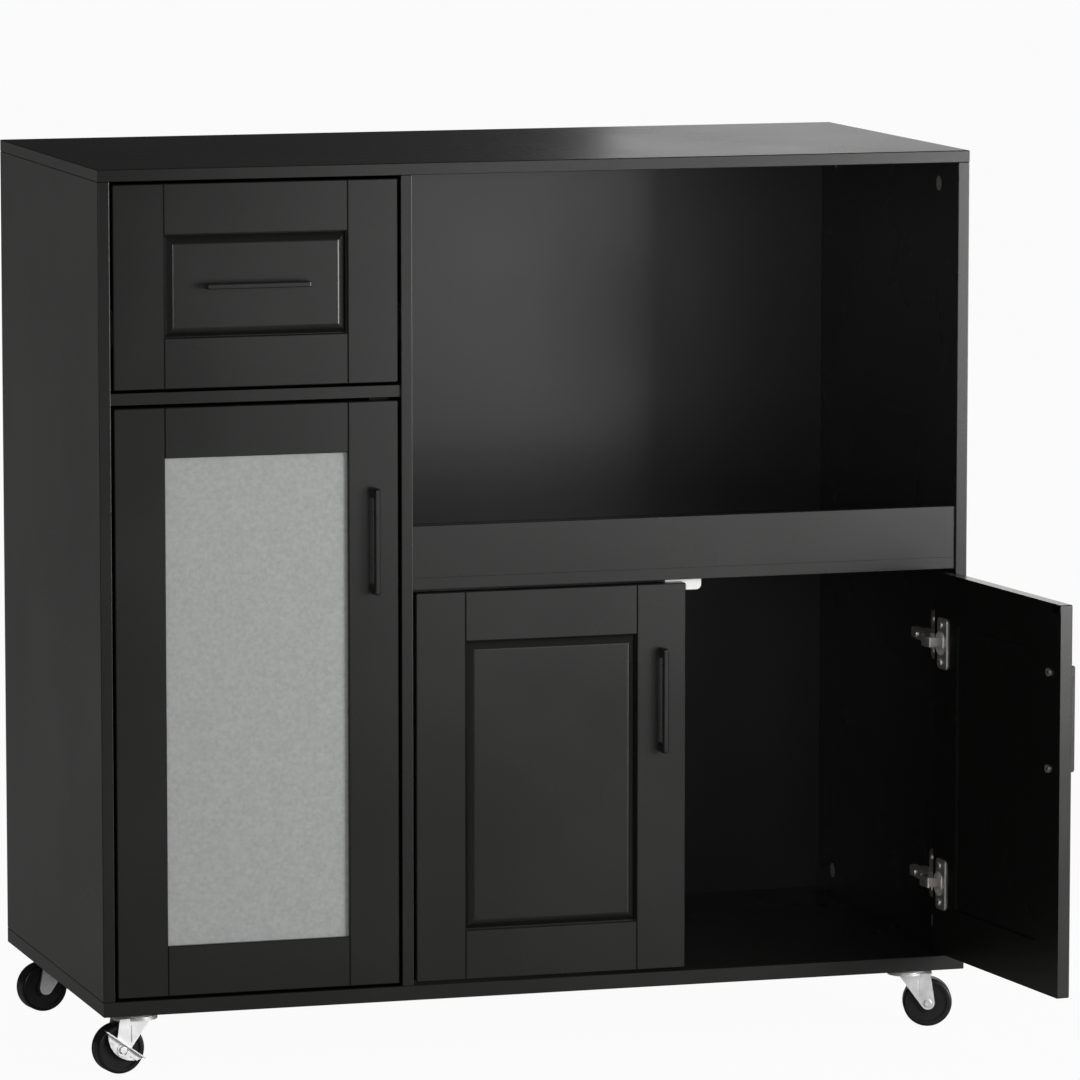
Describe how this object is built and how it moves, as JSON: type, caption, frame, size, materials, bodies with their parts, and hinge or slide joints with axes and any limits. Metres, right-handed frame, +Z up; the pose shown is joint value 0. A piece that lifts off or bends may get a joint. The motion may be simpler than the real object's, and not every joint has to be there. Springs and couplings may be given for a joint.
{
  "type": "rolling kitchen sideboard",
  "caption": "Black panelled kitchen sideboard on swivel casters, with a drawer, a frosted glazed door, an open appliance bay and a cupboard with hinged doors.",
  "frame": {"origin": "on the floor, under the middle of the carcass", "axes": "+Z up, +X to the right as seen from the front, +Y towards the back"},
  "size_m": [0.9271, 0.6965, 0.9],
  "materials": {
    "black_lacquer": "satin lacquer",
    "black_hardboard": "matte",
    "dark_melamine": "matte",
    "frosted_glass": "frosted",
    "black_metal": "satin",
    "nickel_steel": "nickel plated",
    "zinc_steel": "zinc plated",
    "black_tread": "satin",
    "white_plastic": "matte",
    "black_plastic": "matte",
    "magnet_steel": "dull"
  },
  "bodies": {
    "cabinet": {"top_panel": "black_lacquer", "bottom_panel": "black_lacquer", "left_side_panel": "black_lacquer", "right_side_panel": "black_lacquer", "centre_divider": "black_lacquer", "drawer_deck": "black_lacquer", "bay_deck": "black_lacquer", "bay_apron": "black_lacquer", "cupboard_shelf": "black_lacquer", "left_back_panel": "black_hardboard", "right_back_panel": "black_hardboard", "shelf_pins": "nickel_steel", "cam_locks": "nickel_steel", "cam_bolts": "nickel_steel", "door_catches": "white_plastic", "glass_door_catch": "black_plastic", "catch_magnets": "magnet_steel", "hinge_plates": "nickel_steel", "hinge_arms": "nickel_steel", "cabinet_screws": "nickel_steel", "outer_runner_rails": "zinc_steel", "caster_plates": "zinc_steel"},
    "drawer_carriage": {"middle_runner_rails": "zinc_steel"},
    "drawer": {"drawer_front_stiles": "black_lacquer", "drawer_front_rails": "black_lacquer", "drawer_front_panel": "black_lacquer", "drawer_box_walls": "dark_melamine", "drawer_bottom": "black_hardboard", "inner_runner_rails": "zinc_steel", "drawer_handle": "black_metal", "drawer_handle_screws": "nickel_steel"},
    "glass_door": {"glass_door_stiles": "black_lacquer", "glass_door_rails": "black_lacquer", "frosted_pane": "frosted_glass", "pane_beads": "black_lacquer", "glass_door_handle": "black_metal", "glass_door_hinge_cups": "nickel_steel", "glass_door_fixings": "nickel_steel"},
    "left_door": {"left_door_stiles": "black_lacquer", "left_door_rails": "black_lacquer", "left_door_panel": "black_lacquer", "left_door_handle": "black_metal", "left_door_hinge_cups": "nickel_steel", "left_door_fixings": "nickel_steel"},
    "right_door": {"right_door_stiles": "black_lacquer", "right_door_rails": "black_lacquer", "right_door_panel": "black_lacquer", "right_door_handle": "black_metal", "right_door_hinge_cups": "nickel_steel", "right_door_fixings": "nickel_steel"},
    "front_left_fork": {"front_left_caster_fork": "zinc_steel"},
    "front_left_wheel": {"front_left_caster_wheel": "black_tread"},
    "front_left_brake": {"front_left_brake_lever": "zinc_steel"},
    "front_right_fork": {"front_right_caster_fork": "zinc_steel"},
    "front_right_wheel": {"front_right_caster_wheel": "black_tread"},
    "back_left_fork": {"back_left_caster_fork": "zinc_steel"},
    "back_left_wheel": {"back_left_caster_wheel": "black_tread"},
    "back_right_fork": {"back_right_caster_fork": "zinc_steel"},
    "back_right_wheel": {"back_right_caster_wheel": "black_tread"}
  },
  "joints": [
    {"name": "drawer_slide", "type": "slide", "parent": "cabinet", "child": "drawer", "axis": [0, -1, 0], "range_m": [0, 0.3]},
    {"name": "carriage_slide", "type": "slide", "parent": "cabinet", "child": "drawer_carriage", "axis": [0, -1, 0], "range_m": [0, 0.15]},
    {"name": "glass_door_hinge", "type": "hinge", "parent": "cabinet", "child": "glass_door", "pos_m": [-0.428, -0.2085, 0.374], "axis": [0, 0, -1], "range_deg": [0, 98]},
    {"name": "left_door_hinge", "type": "hinge", "parent": "cabinet", "child": "left_door", "pos_m": [-0.1225, -0.2085, 0.2775], "axis": [0, 0, -1], "range_deg": [0, 98]},
    {"name": "right_door_hinge", "type": "hinge", "parent": "cabinet", "child": "right_door", "pos_m": [0.428, -0.2085, 0.2775], "axis": [0, 0, 1], "range_deg": [-96, 2]},
    {"name": "front_left_swivel", "type": "hinge", "parent": "cabinet", "child": "front_left_fork", "pos_m": [-0.404, -0.169, 0.058], "axis": [0, 0, 1], "continuous": true},
    {"name": "front_left_wheel_spin", "type": "hinge", "parent": "front_left_fork", "child": "front_left_wheel", "pos_m": [-0.42579, -0.17206, 0.025], "axis": [0.1392, -0.9903, 0], "continuous": true},
    {"name": "front_left_brake_rock", "type": "hinge", "parent": "front_left_fork", "child": "front_left_brake", "pos_m": [-0.42579, -0.17206, 0.025], "axis": [0.1392, -0.9903, 0], "range_deg": [0, 60]},
    {"name": "front_right_swivel", "type": "hinge", "parent": "cabinet", "child": "front_right_fork", "pos_m": [0.404, -0.169, 0.058], "axis": [0, 0, 1], "continuous": true},
    {"name": "front_right_wheel_spin", "type": "hinge", "parent": "front_right_fork", "child": "front_right_wheel", "pos_m": [0.42515, -0.17506, 0.025], "axis": [0.2756, 0.9613, 0], "continuous": true},
    {"name": "back_left_swivel", "type": "hinge", "parent": "cabinet", "child": "back_left_fork", "pos_m": [-0.404, 0.169, 0.058], "axis": [0, 0, 1], "continuous": true},
    {"name": "back_left_wheel_spin", "type": "hinge", "parent": "back_left_fork", "child": "back_left_wheel", "pos_m": [-0.42567, 0.16518, 0.025], "axis": [0.1736, -0.9848, 0], "continuous": true},
    {"name": "back_right_swivel", "type": "hinge", "parent": "cabinet", "child": "back_right_fork", "pos_m": [0.404, 0.169, 0.058], "axis": [0, 0, 1], "continuous": true},
    {"name": "back_right_wheel_spin", "type": "hinge", "parent": "back_right_fork", "child": "back_right_wheel", "pos_m": [0.42579, 0.16594, 0.025], "axis": [0.1392, 0.9903, 0], "continuous": true}
  ],
  "couplings": [
    {"joint": "carriage_slide", "follows": "drawer_slide", "ratio": 0.5}
  ]
}
